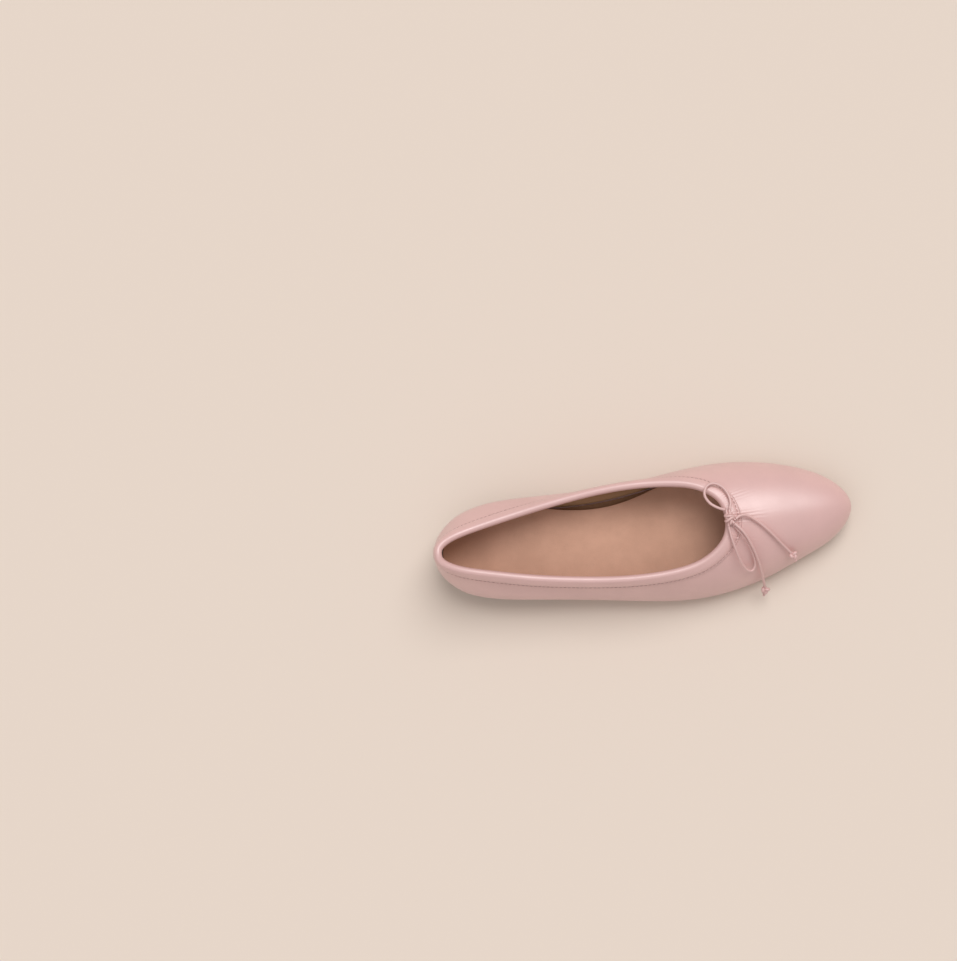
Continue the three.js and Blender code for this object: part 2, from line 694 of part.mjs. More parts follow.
// The slipper stands with the middle of the upper's box over the origin.
const footprint = new THREE.Box3().setFromObject(last.getObjectByName("upper"));
const middle = footprint.getCenter(new THREE.Vector3());
last.position.set(-middle.x, -middle.y, 0);

export default last;
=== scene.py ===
"""A street ballet slipper in soft pink leather, dressed over its fixed frame of solids.

Everything is in metres, +X from heel to toe, +Y to the inner side of the right foot and +Z up. The helper
functions under "The last" work in millimetres measured from the back of the heel, and to_row() takes their
points to the slipper's own frame.
"""

import json
import math

import bmesh
import bpy
import numpy as np
from bpy.props import FloatProperty, FloatVectorProperty, IntProperty, PointerProperty
from mathutils import Matrix, Vector


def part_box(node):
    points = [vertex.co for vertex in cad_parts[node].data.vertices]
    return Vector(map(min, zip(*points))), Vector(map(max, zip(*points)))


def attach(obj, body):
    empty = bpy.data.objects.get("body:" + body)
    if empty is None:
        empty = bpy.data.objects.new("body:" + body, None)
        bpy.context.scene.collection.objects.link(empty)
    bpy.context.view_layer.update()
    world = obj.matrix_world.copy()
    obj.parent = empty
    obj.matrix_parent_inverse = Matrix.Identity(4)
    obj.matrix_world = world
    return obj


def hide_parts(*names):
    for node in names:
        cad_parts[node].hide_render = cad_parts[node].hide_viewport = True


bl_info = {
    "name": "Ballet slipper",
    "version": (1, 0, 0),
    "blender": (4, 5, 0),
    "location": "3D View > Sidebar > Slipper",
    "description": "Builds the leather, lining, sole, stitching and bow of a ballet slipper",
    "category": "Object",
}

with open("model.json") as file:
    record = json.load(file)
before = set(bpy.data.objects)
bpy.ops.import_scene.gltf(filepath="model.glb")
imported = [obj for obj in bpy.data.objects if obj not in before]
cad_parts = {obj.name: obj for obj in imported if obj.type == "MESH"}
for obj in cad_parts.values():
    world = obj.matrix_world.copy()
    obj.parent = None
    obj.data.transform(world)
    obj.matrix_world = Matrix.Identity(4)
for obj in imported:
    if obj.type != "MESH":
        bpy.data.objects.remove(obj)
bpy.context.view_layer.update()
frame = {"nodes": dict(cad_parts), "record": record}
ROOT = "shoe"
MM = 0.001

# The last's sizes, in millimetres.
LENGTH = 250
BALL_WIDTH = 79.3
BACK_HEIGHT = 58
SIDE_HEIGHT = 42
THROAT_HEIGHT = 44
HEEL_HEIGHT = 9
TOE_SPRING = 6
HEEL_BREAST = 56
TREAD_START = 152
TREAD_END = 182
UPPER = 1.2
LINING = 0.9
COUNTER = 1.1
TOE_PUFF = 0.7
BINDING = 0.8
OUTSOLE = 3
TOP_PIECE = 3.5
BOARD = 1.8
FOAM = 2
SOCK = 1
GAP = 0.3
MARGIN_ROOM = 0.5
PAD_CLEARANCE = 0.6
SOCK_CLEARANCE = 0.2
TAIL_TUCK = 1.0
ARCH_CUT = 8.2
ARCH_MIDDLE = 0.76
ARCH_REACH = 0.1
LASTING_MARGIN = 11
TOE_MARGIN = 4
OUTER_LEG = 5.6
INNER_LEG = 3.4
STITCH_BELOW_EDGE = 4.3
CORD = 1.6
ONE_STEP = 1 / 72
COUNTER_REACH = 9 * ONE_STEP
PUFF_REACH = 8 * ONE_STEP
GRIP_REACH = 6 * ONE_STEP
VAMP_REACH = 12 * ONE_STEP
SEAM = 0.0006
STEP_IN = 0.044
PUFF_TOP = 0.7
COUNTER_BELOW_EDGE = 8.5
BRAD_PROUD = 0.15
LINING_TURN = 0.6
SOCK_END = ONE_STEP * 0.12
SOLE_END = ONE_STEP * 0.3
SOLE_CLOSE = 0.15
LACE_EASE = 0.04

# How far right and up of the view's axis the slipper's middle lies, over its distance.
PLACE_IN_VIEW = (0.0846, -0.0297)
LENS = 72.4
SENSOR = 36

# The lights: the way towards each, its strength and its width in degrees.
KEY_LIGHT = ((0.42, 0.68, 1.42), 1.8, 40)
FILL_LIGHT = ((-0.7, -1.0, 1.6), 0.35, 70)
SKY_LIGHT = 0.44
FLOOR_SIZE = 40

UPPER_LEVEL = OUTSOLE + GAP
BOARD_TOP = UPPER_LEVEL + UPPER + MARGIN_ROOM + BOARD
FOAM_LEVEL = BOARD_TOP + GAP
SOCK_LEVEL = FOAM_LEVEL + FOAM + GAP
ROLL_IN = (UPPER + GAP + LINING) / 2
ROLL_OUTER = ROLL_IN + GAP + BINDING
ROLL_UP = GAP + CORD / 2

# Stations round the last, from the back of the heel by the outer side to the toe and back by the inner side:
# the widest line (x, y), how far the sole's edge lies inside it, and the topline (x, y). x is in percent of
# LENGTH and y in percent of BALL_WIDTH.
STATIONS = [
    [0, 0, 3.5, 1.9, 0],
    [1.0, -13.2, 3.5, 2.6, -6.8],
    [3.8, -23.7, 3.5, 4.9, -12.2],
    [8, -31.8, 3.6, 8.9, -17],
    [15.2, -37.8, 4, 15.8, -22.4],
    [24, -41.6, 4.6, 24, -28],
    [33.6, -45.4, 5, 33.4, -32.8],
    [43.2, -49.6, 4.8, 42.6, -36.2],
    [52.4, -53.6, 4.2, 51, -37.2],
    [61.6, -55.1, 3.6, 58.2, -35.6],
    [70.8, -51.7, 3.2, 63.5, -31.3],
    [79.6, -43.9, 3, 67.3, -24.4],
    [88, -32.8, 2.8, 69.8, -16.4],
    [95.6, -20.4, 2.6, 71, -8],
    [100, 0.4, 2.5, 71.3, 0.6],
    [96.2, 20.8, 2.6, 70.9, 9.2],
    [88.8, 33.8, 2.8, 69.7, 17],
    [80, 41.6, 3, 67.2, 24.3],
    [70.8, 44.8, 3.2, 63.4, 30.4],
    [61.6, 43.5, 4, 58, 34],
    [52.4, 40, 6, 50.8, 35.6],
    [43.2, 37.4, 8, 42.4, 34.8],
    [33.6, 36.6, 8.6, 33.2, 31.7],
    [24, 36.9, 7, 24, 27],
    [15.2, 36.4, 5, 15.8, 21.9],
    [8, 31.6, 3.8, 8.9, 16.8],
    [3.8, 23.7, 3.5, 4.9, 12.2],
    [1.0, 13.2, 3.5, 2.6, 6.8],
]

# The bow's lace: points along each loop and tail, and the middle of each tail's knot.
BOW_CORDS = {
    "bow_loop_inner": [
        (175.2, 5.5, 45.2), (171.5, 7, 46), (167, 10.5, 46.2), (164.7, 15.6, 44.6), (166.4, 20.3, 43.4),
        (170.3, 21.8, 42.4), (175.2, 19.3, 42.2), (178.2, 14.4, 43.2), (179, 9.2, 44.3), (178, 5.5, 45.2),
    ],
    "bow_loop_outer": [
        (176.2, -4.5, 45), (177.2, -12, 44.2), (178.6, -18, 42.6), (180.6, -25.2, 38.2), (183.6, -30.4, 32.8),
        (186.4, -31.4, 30.4), (188.6, -28.8, 31), (187.9, -20, 37.6), (183.9, -10.6, 43), (179.8, -4.9, 44.4),
    ],
    "bow_tail_outer": [
        (179.7, -3.2, 46.3), (184.3, -8.8, 45.4), (188, -16.7, 41.4), (190.6, -25, 34.6),
        (192.2, -33.3, 25.6), (193, -39.6, 17.6), (193.1, -41.2, 14.6),
    ],
    "bow_tail_front": [
        (180.9, -0.6, 45.2), (183, 0.8, 44.8), (187, 0.9, 43.4), (192.2, -2.5, 41.6), (198.8, -9.2, 38.8),
        (204.8, -16.7, 34), (210, -23.1, 28.4),
    ],
}
TAIL_KNOTS = {"tail_knot_outer": (193.3, -43.4, 12.7), "tail_knot_front": (211.8, -25.2, 26.9)}


def box_middle(node):
    low, high = (Vector(corner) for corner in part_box(node))
    return (low + high) / 2


# The back of the heel, on the floor, in the slipper's own frame.
SHIFT = box_middle("tail_knot_outer") - Vector(TAIL_KNOTS["tail_knot_outer"]) * MM
SHIFT.z = 0


def to_row(points):
    """Points in millimetres from the back of the heel, as metres in the slipper's frame."""
    return np.asarray(points, float) * MM + np.array(SHIFT)


# ---- The last ------------------------------------------------------------------------------------------


def closed_spline(rows):
    """A smooth closed run through rows of values, as a function of t from 0 to 1."""
    count = len(rows)
    near = np.eye(count) * 4 + np.roll(np.eye(count), 1, 0) + np.roll(np.eye(count), -1, 0)
    poles = np.linalg.solve(near / 6, np.array(rows, float))

    def at(t):
        place = np.mod(t, 1.0) * count
        index = np.floor(place).astype(int)
        u = (place - index)[..., None]
        parts = [(1 - u) ** 3, 3 * u**3 - 6 * u**2 + 4, -3 * u**3 + 3 * u**2 + 3 * u + 1, u**3]
        return sum(part * poles[(index + k - 1) % count] for k, part in enumerate(parts)) / 6

    return at


SCALE = [LENGTH / 100, BALL_WIDTH / 100, 1, LENGTH / 100, BALL_WIDTH / 100]
station_at = closed_spline(np.array(STATIONS) * SCALE)


def smoothstep(x, low, high):
    s = np.clip((x - low) / (high - low), 0, 1)
    return s * s * (3 - 2 * s)


def lerp(a, b, s):
    return a + (b - a) * s


def window(t, centre, width):
    """1 at centre, falling smoothly to 0 at a distance of width round the last."""
    away = np.abs(t - centre - np.round(t - centre))
    return np.where(away < width, np.cos(np.pi / 2 * np.minimum(away / width, 1)) ** 2, 0)


def tread(x):
    """Height of the outsole's underside at a distance x from the back of the heel."""
    heel = HEEL_HEIGHT * (1 - smoothstep(x, HEEL_BREAST - 20, TREAD_START))
    toe = np.maximum(0, (x - TREAD_END) / (LENGTH - TREAD_END))
    return heel + TOE_SPRING * toe**2


def outward(t):
    """The unit vector, seen from above, that points out of the last at t."""
    run = station_at(t + 1e-3)[..., :2] - station_at(t - 1e-3)[..., :2]
    out = np.stack([run[..., 1], -run[..., 0]], -1)
    return out / np.linalg.norm(out, axis=-1, keepdims=True)


def plan_point(t, inset, height):
    """A point of the widest line, moved in by inset, at a height over the top of the outsole."""
    spot = station_at(t)[..., :2] - outward(t) * np.asarray(inset)[..., None]
    return np.concatenate([spot, (tread(spot[..., 0]) + OUTSOLE + height)[..., None]], -1)


def topline_height(t):
    finished = SIDE_HEIGHT + (BACK_HEIGHT - SIDE_HEIGHT) * window(t, 0, 0.24)
    finished = finished + (THROAT_HEIGHT - SIDE_HEIGHT) * window(t, 0.5, 0.2)
    return finished - lerp(ROLL_OUTER + ROLL_UP, ROLL_OUTER, window(t, 0.5, 0.16))


def wall_lines(t):
    toe = window(t, 0.5, 0.3)
    inset = station_at(t)[..., 2]
    turned = lerp(LASTING_MARGIN, TOE_MARGIN, toe)
    low = plan_point(t, -0.5 + 0 * t, lerp(6.3, 3.7, toe))
    high = plan_point(t, lerp(0.4, 0.9, toe), lerp(14.8, 11.3, toe) + 5 * window(t, 0, 0.14))
    top = np.concatenate([station_at(t)[..., 3:], topline_height(t)[..., None]], -1)
    up = np.array([0, 0, 1.0])
    shoulder = lerp(high, top, lerp(0.38, 0.17, toe)[..., None]) + (6 * toe)[..., None] * up
    vamp = lerp(high, top, lerp(0.7, 0.58, toe)[..., None]) + (4.2 * toe)[..., None] * up
    margin = plan_point(t, inset + turned, GAP)
    return [margin, plan_point(t, inset + turned / 3, GAP), plan_point(t, inset * 0.6, GAP), low, high,
            shoulder, vamp, top]


KNOTS = [0, 0, 0, 0, 1, 2, 3, 4, 5, 5, 5, 5]


def share(i, degree, u):
    """How much line i counts at u, in a cubic B-spline over the eight lines."""
    if degree == 0:
        return ((KNOTS[i] <= u) & (u < KNOTS[i + 1])).astype(float)
    rise = KNOTS[i + degree] - KNOTS[i]
    fall = KNOTS[i + degree + 1] - KNOTS[i + 1]
    up = (u - KNOTS[i]) / rise * share(i, degree - 1, u) if rise else 0
    down = (KNOTS[i + degree + 1] - u) / fall * share(i + 1, degree - 1, u) if fall else 0
    return up + down


def wall(t, v):
    """The outer face of the upper; past v = 1 it runs straight on."""
    t, v = np.broadcast_arrays(np.asarray(t, float), np.asarray(v, float))
    inside = np.clip(v, 0, 1)
    u = np.minimum(inside * 5, 5 - 1e-9)
    lines = wall_lines(t)
    point = sum(line * share(i, 3, u)[..., None] for i, line in enumerate(lines))
    return point + (lines[7] - lines[6]) * 15 * (v - inside)[..., None]


def wall_normal(t, v):
    high = np.clip(v, 1e-4, 1)
    across = wall(t + 1e-4, high) - wall(t - 1e-4, high)
    out = np.cross(across, wall(t, high) - wall(t, high - 1e-4))
    return out / np.linalg.norm(out, axis=-1, keepdims=True)


def under(t, v, depth):
    """A point at depth under the outer face: 0 on it, positive towards the foot."""
    return wall(t, v) - wall_normal(t, v) * np.asarray(depth)[..., None]


def below_edge(t, distance):
    """v at a distance below the topline edge, measured down the wall."""
    speed = np.linalg.norm(wall(t, 1 + 0 * t) - wall(t, 0.99 + 0 * t), axis=-1) / 0.01
    return 1 - distance / speed


def at_height(t, height, depth=lambda t, v: 0 * t):
    """v where the surface at a depth under the wall passes a height above the upper's seat."""
    target = tread(station_at(t)[..., 0]) + UPPER_LEVEL + height
    low, high = 0 * t + 0.16, 0 * t + 0.68
    for _ in range(20):
        middle = (low + high) / 2
        short = under(t, middle, depth(t, middle))[..., 2] < target
        low, high = np.where(short, middle, low), np.where(short, high, middle)
    return high


def counter_top(t):
    return below_edge(t, COUNTER_BELOW_EDGE)


def leg_end(t):
    return below_edge(t, INNER_LEG + 3 * GAP)


def lining_depth(t, v):
    """How far the lining lies under the upper's outer face: it steps in over the counter and the puff."""
    heel = np.abs(t - np.round(t))
    toe = np.abs(t - 0.5)
    counter = 1 - smoothstep(heel, COUNTER_REACH + 0.006, COUNTER_REACH + STEP_IN)
    counter = counter * (1 - smoothstep(v, counter_top(t) + 0.012, leg_end(t)))
    puff = 1 - smoothstep(toe, PUFF_REACH + 0.006, PUFF_REACH + STEP_IN)
    puff = puff * (1 - smoothstep(v, PUFF_TOP + 0.1, PUFF_TOP + 0.21))
    return UPPER + GAP + counter * (COUNTER + GAP) + puff * (TOE_PUFF + GAP)


def lining_bottom(t):
    """The linings run down beside the insole board."""
    return at_height(t, LINING_TURN)


def sole_edge(t):
    return plan_point(t, station_at(t)[..., 2] * 0.6 + GAP, 0)


def lined_edge(level, spare=0.0, clearance=PAD_CLEARANCE):
    """The edge, at a level, of what lies inside the lining, cut narrower at the inner side of the arch."""
    def depth(t, v):
        return lining_depth(t, v) + LINING + clearance

    def edge(t):
        v = at_height(t, level - UPPER_LEVEL, depth)
        spot = under(t, v, depth(t, v))
        spot[..., :2] -= outward(t) * ((ARCH_CUT + spare) * window(t, ARCH_MIDDLE, ARCH_REACH))[..., None]
        return spot

    return edge


def place_at(x):
    """The place on the outer side that lies a distance x from the back of the heel."""
    t = np.linspace(0, 0.5, 2000)
    return float(t[np.argmin(np.abs(station_at(t)[:, 0] - x))])


# ---- Making pieces -------------------------------------------------------------------------------------


def keep(name, bm, material, body=ROOT, stands_for=(), shaded_edge_material=None):
    """Stores a bmesh as a finished piece on a body; its upright faces may take a second, darker material that
    paints the shade falling on them.
    """
    for face in bm.faces:
        face.smooth = True
        face.material_index = int(shaded_edge_material is not None and abs(face.normal.z) < 0.8)
    mesh = bpy.data.meshes.new(name)
    bm.to_mesh(mesh)
    bm.free()
    piece = bpy.data.objects.new(name, mesh)
    bpy.context.scene.collection.objects.link(piece)
    dress(piece, material, body, stands_for)
    if shaded_edge_material:
        mesh.materials.append(shaded_edge_material)
    return piece


def dress(piece, material, body, stands_for):
    piece.data.materials.append(material)
    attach(piece, body)
    if stands_for:
        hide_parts(*stands_for)
    return piece


def bent_grid(columns, rows, place, weld=False):
    """A grid bent to shape: place gets how far each corner lies along and across it, 0 to 1, as arrays."""
    bm = bmesh.new()
    layer = bm.loops.layers.uv.new("UVMap")
    bmesh.ops.create_grid(bm, x_segments=columns, y_segments=rows, size=0.5)
    for face in bm.faces:
        for loop in face.loops:
            loop[layer].uv = (loop.vert.co.x + 0.5, loop.vert.co.y + 0.5)
    flat = np.array([vert.co[:2] for vert in bm.verts]) + 0.5
    for vert, point in zip(bm.verts, to_row(place(flat[:, 0], flat[:, 1]))):
        vert.co = point
    if weld:
        bmesh.ops.remove_doubles(bm, verts=bm.verts[:], dist=1e-6)
    bm.normal_update()
    return bm


def round_rim(bm, bevel):
    """Rounds the edges where two sides meet squarely."""
    sharp = [edge for edge in bm.edges if len(edge.link_faces) == 2 and edge.calc_face_angle() > 0.9]
    bmesh.ops.bevel(bm, geom=sharp, offset=bevel * MM, segments=3, profile=0.5, affect="EDGES", material=-1)
    return bm


def thicken(bm, thickness):
    """Gives a bent grid its thickness, on the side away from its normals."""
    bmesh.ops.solidify(bm, geom=bm.faces[:], thickness=thickness * MM)
    bmesh.ops.recalc_face_normals(bm, faces=bm.faces[:])
    return bm


def patch_of_wall(start, end, columns, rows, row_at, depth, thickness):
    """A patch of the wall between two places round the last, at a depth under the outer face."""
    def place(across, up):
        t = lerp(start, end, across)
        v = row_at(t, up)
        return under(t, v, depth(t, v))

    return thicken(bent_grid(columns, rows, place), thickness)


def slab(start, end, columns, rows, edge, low, high, bevel):
    """A flat piece along the bottom between two places, from the height low(x) up to high(x)."""
    def place(along, across):
        t = lerp(start, end, along)
        point = lerp(edge(t), edge(1 - t), across[:, None])
        point[:, 2] = high(point[:, 0])
        return point

    bm = bent_grid(columns, rows, place)
    grown = bmesh.ops.extrude_face_region(bm, geom=bm.faces[:])
    for vert in grown["geom"]:
        if isinstance(vert, bmesh.types.BMVert):
            vert.co.z = float(low((vert.co.x - SHIFT.x) / MM)) * MM
    bmesh.ops.recalc_face_normals(bm, faces=bm.faces[:])
    return round_rim(bm, bevel)


def over_tread(height):
    """A height over the outsole's underside, as a function of x."""
    return lambda x: tread(x) + height


def smooth_run(points, steps):
    """Points along one smooth line through the given points, as the frame's cords run."""
    points = np.array(points, float)
    whole = np.vstack([2 * points[0] - points[1], points, 2 * points[-1] - points[-2]])
    gaps = np.linalg.norm(np.diff(whole, axis=0), axis=1) ** 0.5
    knots = np.concatenate([[0], np.cumsum(gaps)])
    run = []
    for i in range(1, len(whole) - 2):
        k = knots[i - 1 : i + 3]
        for s in np.linspace(k[1], k[2], steps, endpoint=i == len(whole) - 3):
            a = [lerp(whole[i - 1 + j], whole[i + j], (s - k[j]) / (k[j + 1] - k[j])) for j in range(3)]
            b = [lerp(a[j], a[j + 1], (s - k[j]) / (k[j + 2] - k[j])) for j in range(2)]
            run.append(lerp(b[0], b[1], (s - k[1]) / (k[2] - k[1])))
    return np.array(run)


def lace(name, points, diameter, material, body, closed=False):
    """A round lace along points in the slipper's frame, as one curve."""
    curve = bpy.data.curves.new(name, "CURVE")
    curve.dimensions = "3D"
    curve.bevel_depth = diameter * MM / 2
    curve.bevel_resolution = 4
    curve.use_fill_caps = not closed
    spline = curve.splines.new("POLY")
    spline.points.add(len(points) - 1)
    spline.use_cyclic_u = closed
    spline.use_smooth = True
    for place, point in zip(spline.points, points):
        place.co = (*point, 1)
    piece = bpy.data.objects.new(name, curve)
    bpy.context.scene.collection.objects.link(piece)
    return dress(piece, material, body, ())


# ---- Materials -----------------------------------------------------------------------------------------


class Nodes:
    """A small helper that adds nodes to a tree and links them."""

    def __init__(self, tree):
        self.tree = tree

    def add(self, kind, links=(), **values):
        node = self.tree.nodes.new(kind)
        for key, value in values.items():
            if key.startswith("in_"):
                node.inputs[key[3:].replace("_", " ")].default_value = value
            else:
                setattr(node, key, value)
        for socket, source in dict(links).items():
            self.tree.links.new(source, node.inputs[socket])
        return node


def new_group(name, inputs, outputs):
    group = bpy.data.node_groups.new(name, "ShaderNodeTree")
    for label, kind, value in inputs:
        socket = group.interface.new_socket(label, in_out="INPUT", socket_type=kind)
        if value is not None:
            socket.default_value = value
    for label, kind in outputs:
        group.interface.new_socket(label, in_out="OUTPUT", socket_type=kind)
    return group, Nodes(group)


def leather_group():
    """Pores, creases and slow mottling of tanned leather, with painted shade darkening the colour in the
    grain's pits.
    """
    group, nodes = new_group(
        "leather_surface",
        [("Vector", "NodeSocketVector", None), ("Pores per metre", "NodeSocketFloat", 1300.0),
         ("Base", "NodeSocketColor", (0.8, 0.6, 0.6, 1)), ("Deep", "NodeSocketColor", (0.6, 0.4, 0.4, 1))],
        [("Color", "NodeSocketColor"), ("Height", "NodeSocketFloat"), ("Wear", "NodeSocketFloat")],
    )
    start = nodes.add("NodeGroupInput")
    end = nodes.add("NodeGroupOutput")
    vector, scale = start.outputs["Vector"], start.outputs["Pores per metre"]
    pores = nodes.add("ShaderNodeTexVoronoi", {"Vector": vector, "Scale": scale}, feature="DISTANCE_TO_EDGE")
    creases = nodes.add("ShaderNodeTexNoise", {"Vector": vector},
                        in_Scale=420.0, in_Detail=6.0, in_Distortion=0.6)
    slow = nodes.add("ShaderNodeTexNoise", {"Vector": vector}, in_Scale=38.0, in_Detail=4.0, in_Roughness=0.6)
    fine = nodes.add("ShaderNodeTexNoise", {"Vector": vector}, in_Scale=2600.0, in_Detail=2.0)
    grain = nodes.add("ShaderNodeMapRange", {"Value": pores.outputs["Distance"]}, in_From_Max=0.12)
    height = nodes.add("ShaderNodeMath", {0: grain.outputs[0], 1: creases.outputs["Fac"]}, operation="ADD")
    whole = nodes.add("ShaderNodeMath", {0: height.outputs[0], 1: fine.outputs["Fac"]}, operation="ADD")
    spread = nodes.add("ShaderNodeMapRange", {"Value": slow.outputs["Fac"]},
                       in_From_Min=0.35, in_From_Max=0.7)
    # Painted shade: the colour darkens towards the deep tone in the pits between the grain's cells. The slow
    # mottle added to it is the leather's own tone.
    pit_shade = nodes.add("ShaderNodeMapRange", {"Value": grain.outputs[0]}, in_To_Min=0.35, in_To_Max=0.0)
    mix = nodes.add("ShaderNodeMath", {0: spread.outputs[0], 1: pit_shade.outputs[0]},
                    operation="ADD", use_clamp=True)
    colour = nodes.add("ShaderNodeMix", data_type="RGBA")
    for socket, source in ((0, mix.outputs[0]), (6, start.outputs["Base"]), (7, start.outputs["Deep"])):
        group.links.new(source, colour.inputs[socket])
    group.links.new(colour.outputs[2], end.inputs["Color"])
    group.links.new(whole.outputs[0], end.inputs["Height"])
    group.links.new(spread.outputs[0], end.inputs["Wear"])
    return group


def fibre_group():
    """Fibres, granules and weave for the pieces inside the slipper."""
    group, nodes = new_group(
        "fibre_surface",
        [("Vector", "NodeSocketVector", None), ("Grain per metre", "NodeSocketFloat", 600.0),
         ("Threads per metre", "NodeSocketFloat", 0.0),
         ("Base", "NodeSocketColor", (0.8, 0.6, 0.6, 1)), ("Deep", "NodeSocketColor", (0.6, 0.4, 0.4, 1))],
        [("Color", "NodeSocketColor"), ("Height", "NodeSocketFloat"), ("Wear", "NodeSocketFloat")],
    )
    start = nodes.add("NodeGroupInput")
    end = nodes.add("NodeGroupOutput")
    vector = start.outputs["Vector"]
    cells = nodes.add("ShaderNodeTexVoronoi", {"Vector": vector, "Scale": start.outputs["Grain per metre"]})
    spots = nodes.add("ShaderNodeTexNoise", {"Vector": vector, "Scale": start.outputs["Grain per metre"]},
                      in_Detail=5.0)
    threads = start.outputs["Threads per metre"]
    weft = nodes.add("ShaderNodeTexWave", {"Vector": vector, "Scale": threads}, bands_direction="X")
    warp = nodes.add("ShaderNodeTexWave", {"Vector": vector, "Scale": threads}, bands_direction="Y")
    cloth = nodes.add("ShaderNodeMath", {0: weft.outputs["Fac"], 1: warp.outputs["Fac"]},
                      operation="MULTIPLY")
    height = nodes.add("ShaderNodeMath", {0: cells.outputs["Distance"], 1: cloth.outputs[0]}, operation="ADD")
    colour = nodes.add("ShaderNodeMix", data_type="RGBA")
    for socket, source in ((0, spots.outputs["Fac"]), (6, start.outputs["Base"]), (7, start.outputs["Deep"])):
        group.links.new(source, colour.inputs[socket])
    group.links.new(colour.outputs[2], end.inputs["Color"])
    group.links.new(height.outputs[0], end.inputs["Height"])
    group.links.new(spots.outputs["Fac"], end.inputs["Wear"])
    return group


def surface_material(name, group, base, deep, rough, bump, values=(), shader=()):
    """A material whose colour, height and gloss come from a group, on the piece's Object coordinates."""
    material = bpy.data.materials.new(name)
    material.use_nodes = True
    nodes = Nodes(material.node_tree)
    principled = material.node_tree.nodes["Principled BSDF"]
    where = nodes.add("ShaderNodeTexCoord")
    effect = nodes.add("ShaderNodeGroup", node_tree=group)
    effect.inputs["Base"].default_value = (*base, 1)
    effect.inputs["Deep"].default_value = (*deep, 1)
    for label, value in dict(values).items():
        effect.inputs[label].default_value = value
    for label, value in dict(shader).items():
        principled.inputs[label].default_value = value
    gloss = nodes.add("ShaderNodeMapRange", {"Value": effect.outputs["Wear"]},
                      in_To_Min=rough[0], in_To_Max=rough[1])
    raised = nodes.add("ShaderNodeBump", {"Height": effect.outputs["Height"]},
                       in_Strength=bump[0], in_Distance=bump[1] * MM)
    links = material.node_tree.links
    links.new(where.outputs["Object"], effect.inputs["Vector"])
    links.new(effect.outputs["Color"], principled.inputs["Base Color"])
    links.new(gloss.outputs[0], principled.inputs["Roughness"])
    links.new(raised.outputs[0], principled.inputs["Normal"])
    return material


MATERIALS = {}


def darker(colour, by):
    return tuple(part * by for part in colour)


def make_materials(looks):
    """Every finish of the slipper, by name."""
    leather, fibre = leather_group(), fibre_group()
    pink, tan, lining = (tuple(colour) for colour in (looks.leather, looks.sock, looks.lining))
    soft = {"Specular IOR Level": 1.0, "Sheen Weight": 0.05, "Sheen Roughness": 0.4,
            "Coat Weight": 0.5, "Coat Roughness": 0.42}
    matt = {"Specular IOR Level": 0.35}

    def tanned(name, base, by, rough, bump, pores, shader=matt):
        MATERIALS[name] = surface_material(name, leather, base, darker(base, by), rough, bump,
                                           {"Pores per metre": pores}, shader)

    def fibrous(name, base, by, rough, bump, grain, threads=0.0, shader=matt):
        values = {"Grain per metre": grain, "Threads per metre": threads}
        MATERIALS[name] = surface_material(name, fibre, base, darker(base, by), rough, bump, values, shader)

    tanned("pink_leather", pink, 0.93, (0.36, 0.47), (0.22, 0.05), 1500.0, soft)
    tanned("pink_lace", pink, 0.88, (0.42, 0.52), (0.3, 0.06), 1800.0, soft)
    tanned("tan_sock", tan, 0.86, (0.5, 0.66), (0.3, 0.07), 1100.0)
    tanned("lining_leather", lining, 0.82, (0.55, 0.7), (0.35, 0.08), 1000.0)
    tanned("sole_leather", (0.42, 0.26, 0.15), 0.75, (0.45, 0.62), (0.3, 0.1), 700.0)
    tanned("stacked_heel", (0.22, 0.12, 0.07), 0.6, (0.38, 0.55), (0.4, 0.12), 500.0)
    # Thread darker than the leather: painted shade of the needle holes and of the groove the stitches sit in.
    fibrous("pink_thread", darker(pink, 0.76), 0.85, (0.55, 0.7), (0.3, 0.05), 4000.0)
    fibrous("heel_grip", (0.84, 0.75, 0.65), 0.88, (0.8, 0.95), (0.5, 0.12), 1800.0)
    fibrous("top_piece_rubber", (0.035, 0.03, 0.03), 0.7, (0.6, 0.8), (0.5, 0.15), 900.0)
    # Dark brown for the sock's upright sides: painted shade of the narrow gap between the sock and the
    # lining.
    fibrous("sock_edge_painted_shade", (0.26, 0.125, 0.065), 0.7, (0.6, 0.8), (0.3, 0.08), 900.0)
    fibrous("board", (0.36, 0.2, 0.11), 0.7, (0.8, 0.95), (0.5, 0.1), 700.0)
    fibrous("foam", (0.8, 0.76, 0.68), 0.9, (0.9, 1.0), (0.8, 0.3), 900.0)
    fibrous("stiffener", (0.6, 0.53, 0.4), 0.8, (0.8, 0.95), (0.6, 0.15), 400.0, 260.0)
    fibrous("cork", (0.36, 0.22, 0.12), 0.45, (0.85, 1.0), (0.7, 0.3), 420.0)
    fibrous("steel", (0.55, 0.56, 0.58), 0.85, (0.25, 0.42), (0.2, 0.03), 1200.0, 0.0, {"Metallic": 1.0})


# ---- Operators -----------------------------------------------------------------------------------------


